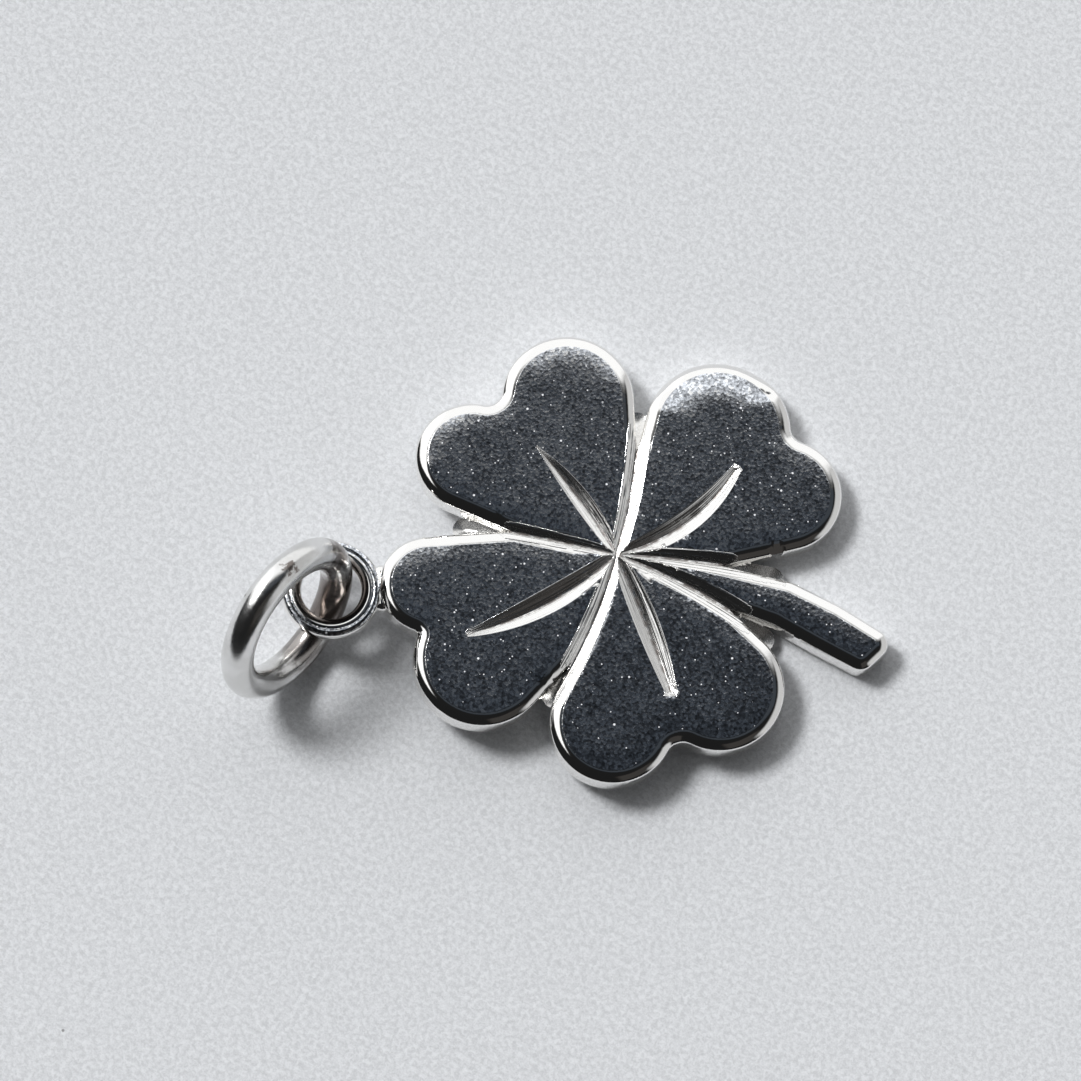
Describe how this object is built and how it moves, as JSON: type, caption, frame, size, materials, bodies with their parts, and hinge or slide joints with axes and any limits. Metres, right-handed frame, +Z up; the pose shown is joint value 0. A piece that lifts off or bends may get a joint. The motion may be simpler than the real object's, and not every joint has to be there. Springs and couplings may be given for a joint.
{
  "type": "four leaf clover pendant",
  "caption": "Flat cast metal clover charm with heart shaped leaves, engraved veins and a stem, hung by a soldered wire eye on a thick jump ring.",
  "frame": {"origin": "on the surface that the pendant lies on, under the middle of the whole pendant", "axes": "+X from the eye towards the stem, +Y towards the two leaves above the stem as the picture shows them, +Z up from the surface"},
  "size_m": [0.0192, 0.0134, 0.0051],
  "materials": {
    "cast_silver": "polished cast silver with a fine grain on the faces",
    "wire_silver": "polished silver wire"
  },
  "bodies": {
    "root": {"clover": "cast_silver", "jump_ring": "wire_silver"}
  },
  "joints": []
}
